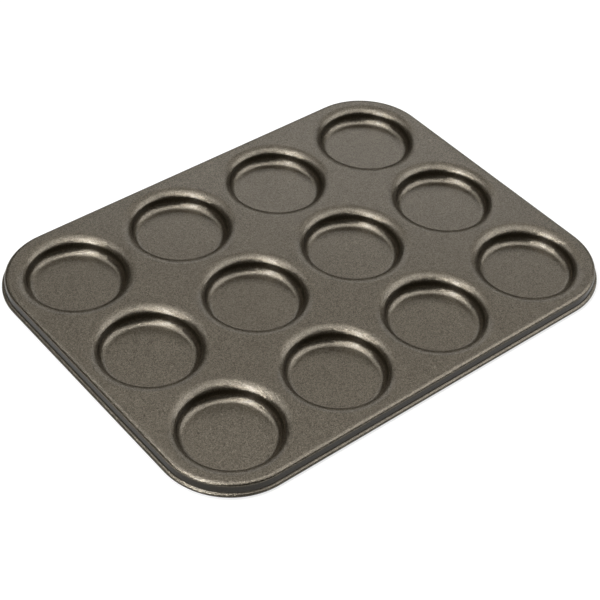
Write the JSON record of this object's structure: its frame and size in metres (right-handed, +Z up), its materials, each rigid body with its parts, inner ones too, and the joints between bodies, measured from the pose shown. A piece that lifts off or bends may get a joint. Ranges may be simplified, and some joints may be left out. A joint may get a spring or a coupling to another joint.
{
  "type": "muffin tin",
  "caption": "Shallow metal baking tin with a grid of round cups drawn in one sheet and an edge curled round a wire.",
  "frame": {"origin": "under the middle of the tin, on the plane that the cup floors stand on", "axes": "+X along the row of four cups, +Y across the row of three, +Z up out of the cups"},
  "size_m": [0.35, 0.266, 0.0106],
  "materials": {
    "nonstick_coating": "dark grey-brown metallic non-stick, semi-gloss, fine flake",
    "rim_wire_steel": "drawn mild-steel wire"
  },
  "bodies": {
    "root": {"pan_sheet": "nonstick_coating", "rim_wire": "rim_wire_steel"}
  },
  "joints": []
}
